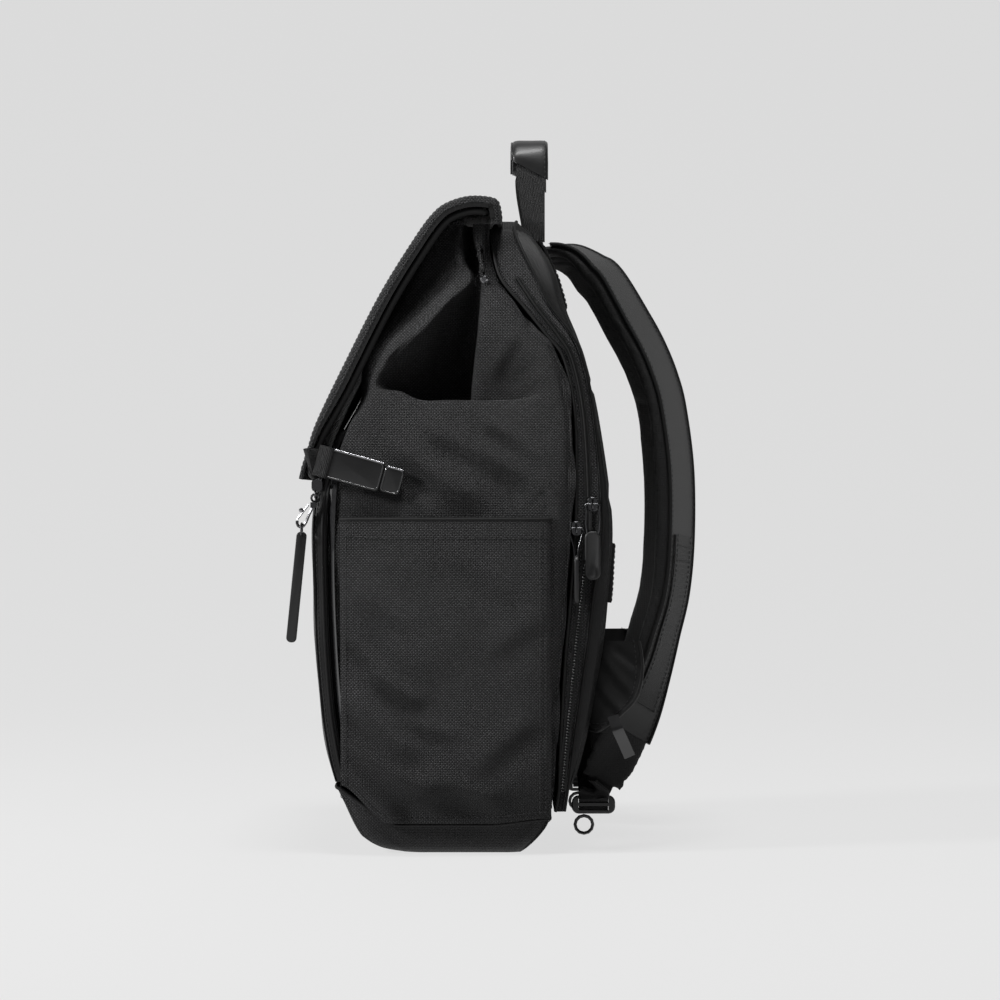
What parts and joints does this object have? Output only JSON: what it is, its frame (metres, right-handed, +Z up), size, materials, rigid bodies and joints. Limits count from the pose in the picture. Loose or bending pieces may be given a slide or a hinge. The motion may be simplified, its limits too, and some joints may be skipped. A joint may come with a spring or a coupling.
{
  "type": "flap backpack",
  "caption": "Standing backpack with a flap over the front, side pockets, back compartment, padded shoulder straps, grab handle and key hook.",
  "frame": {"origin": "centre of the base's flat face, on the floor", "axes": "+Z up to the handle, +Y to the back panel and straps, +X to the side with the key hook and zip pulls"},
  "size_m": [0.3074, 0.2886, 0.514],
  "materials": {
    "woven_cloth": "coarse basket weave, matt",
    "smooth_cloth": "fine nylon, soft sheen",
    "padded_mesh": "padded, spacer mesh at the sides",
    "webbing": "flat woven webbing",
    "zip_tape": "coated zip tape",
    "leather": "matt coated leather with glossy edges",
    "dark_metal": "gunmetal, satin",
    "plastic": "matt",
    "rubber": "matt with a raised rim"
  },
  "bodies": {
    "bag": {"base": "woven_cloth", "body": "woven_cloth", "front_pocket": "smooth_cloth", "side_pocket_right": "woven_cloth", "side_pocket_left": "woven_cloth", "back_compartment": "woven_cloth", "back_panel": "padded_mesh", "luggage_sleeve": "smooth_cloth", "yoke": "smooth_cloth", "flap": "woven_cloth", "flap_piping": "woven_cloth", "handle_webbing": "webbing", "handle_sleeve": "leather", "strap_pad_right": "padded_mesh", "strap_pad_left": "padded_mesh", "strap_strip_right": "smooth_cloth", "strap_strip_left": "smooth_cloth", "ladder_lock_right": "plastic", "ladder_lock_left": "plastic", "strap_webbing_right": "webbing", "strap_webbing_left": "webbing", "strap_anchor_right": "webbing", "strap_anchor_left": "webbing", "strap_ring_right": "plastic", "strap_ring_left": "plastic", "strap_wing_right": "smooth_cloth", "strap_wing_left": "smooth_cloth", "thumb_loop_right": "leather", "thumb_loop_left": "leather", "rear_zip_right": "zip_tape", "rear_zip_left": "zip_tape", "front_zip_right": "zip_tape", "front_zip_left": "zip_tape", "clasp_plate_right": "leather", "clasp_plate_left": "leather", "clasp_tip_right": "leather", "clasp_tip_left": "leather", "clasp_stand_right": "plastic", "clasp_stand_left": "plastic", "clasp_webbing_right": "webbing", "clasp_webbing_left": "webbing", "gusset_snap_right": "dark_metal", "gusset_snap_left": "dark_metal", "slider_rear": "dark_metal", "slider_low": "dark_metal", "key_holder": "dark_metal", "hook_body": "dark_metal", "key_ring": "dark_metal", "key_fob": "leather"},
    "rear_pull": {"pull_rear": "rubber"},
    "low_pull": {"pull_low": "rubber"},
    "gate": {"hook_gate": "dark_metal"}
  },
  "joints": [
    {"name": "rear_pull_swing", "type": "hinge", "parent": "bag", "child": "rear_pull", "pos_m": [0.14066, 0.09432, 0.24702], "axis": [0, -1, 0], "range_deg": [0, 100]},
    {"name": "low_pull_swing", "type": "hinge", "parent": "bag", "child": "low_pull", "pos_m": [0.13971, 0.08296, 0.23], "axis": [0, -1, 0], "range_deg": [0, 100]},
    {"name": "hook_gate_swing", "type": "hinge", "parent": "bag", "child": "gate", "pos_m": [0.14091, -0.1049, 0.24646], "axis": [1, 0, 0], "range_deg": [0, 12]}
  ]
}
